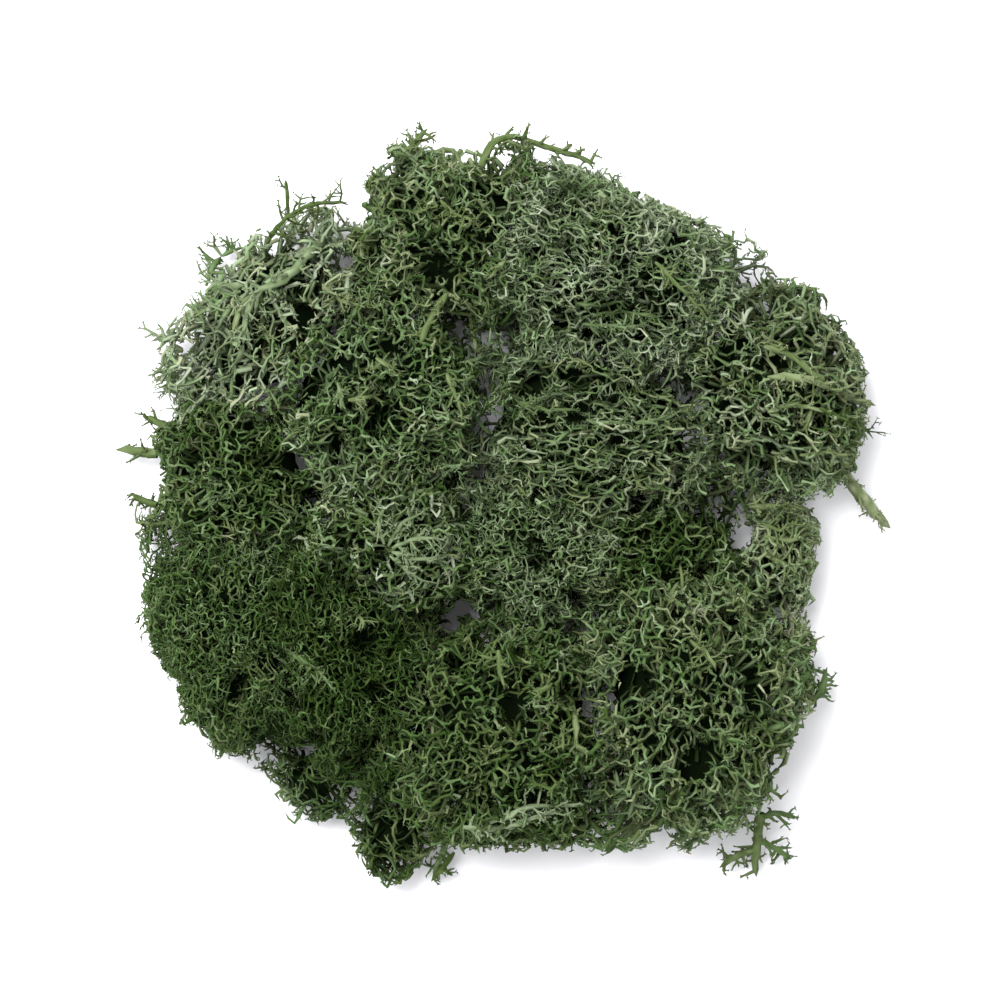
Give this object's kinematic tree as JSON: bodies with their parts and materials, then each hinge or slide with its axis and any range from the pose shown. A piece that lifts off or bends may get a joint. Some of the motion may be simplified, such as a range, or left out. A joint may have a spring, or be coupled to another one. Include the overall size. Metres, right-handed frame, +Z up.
{
  "type": "reindeer moss clump",
  "caption": "Flat, rounded clump of dried and dyed reindeer moss: branching lichen tufts matted together, with loose stems and sprays at the rim. Lies flat as filler or decoration.",
  "frame": {"origin": "on the surface it lies on, under the middle of the clump", "axes": "+Z up out of the surface; +Y towards the tufts that the picture shows at the top, +X towards those on its right"},
  "size_m": [0.186, 0.1831, 0.0395],
  "materials": {
    "sage_lichen": "dull, bleached pale sage green",
    "grey_green_lichen": "dull grey green, fine tips",
    "green_lichen": "dull mid green",
    "leaf_green_lichen": "dull warm green, paler at the tips",
    "dark_green_lichen": "dull deep green, fine tips"
  },
  "bodies": {
    "root": {"tuft_upper_left": "sage_lichen", "tuft_top": "green_lichen", "tuft_upper_right": "grey_green_lichen", "tuft_right": "grey_green_lichen", "tuft_centre_right": "grey_green_lichen", "tuft_centre_left": "leaf_green_lichen", "tuft_left": "green_lichen", "tuft_lower_left": "dark_green_lichen", "tuft_inner_left": "dark_green_lichen", "tuft_middle": "sage_lichen", "tuft_centre": "grey_green_lichen", "tuft_lower_middle": "leaf_green_lichen", "tuft_lower_right": "leaf_green_lichen", "tuft_lower_edge": "leaf_green_lichen", "tuft_inner_right": "green_lichen", "spray_lower_left": "green_lichen", "spray_bottom": "green_lichen"}
  },
  "joints": []
}
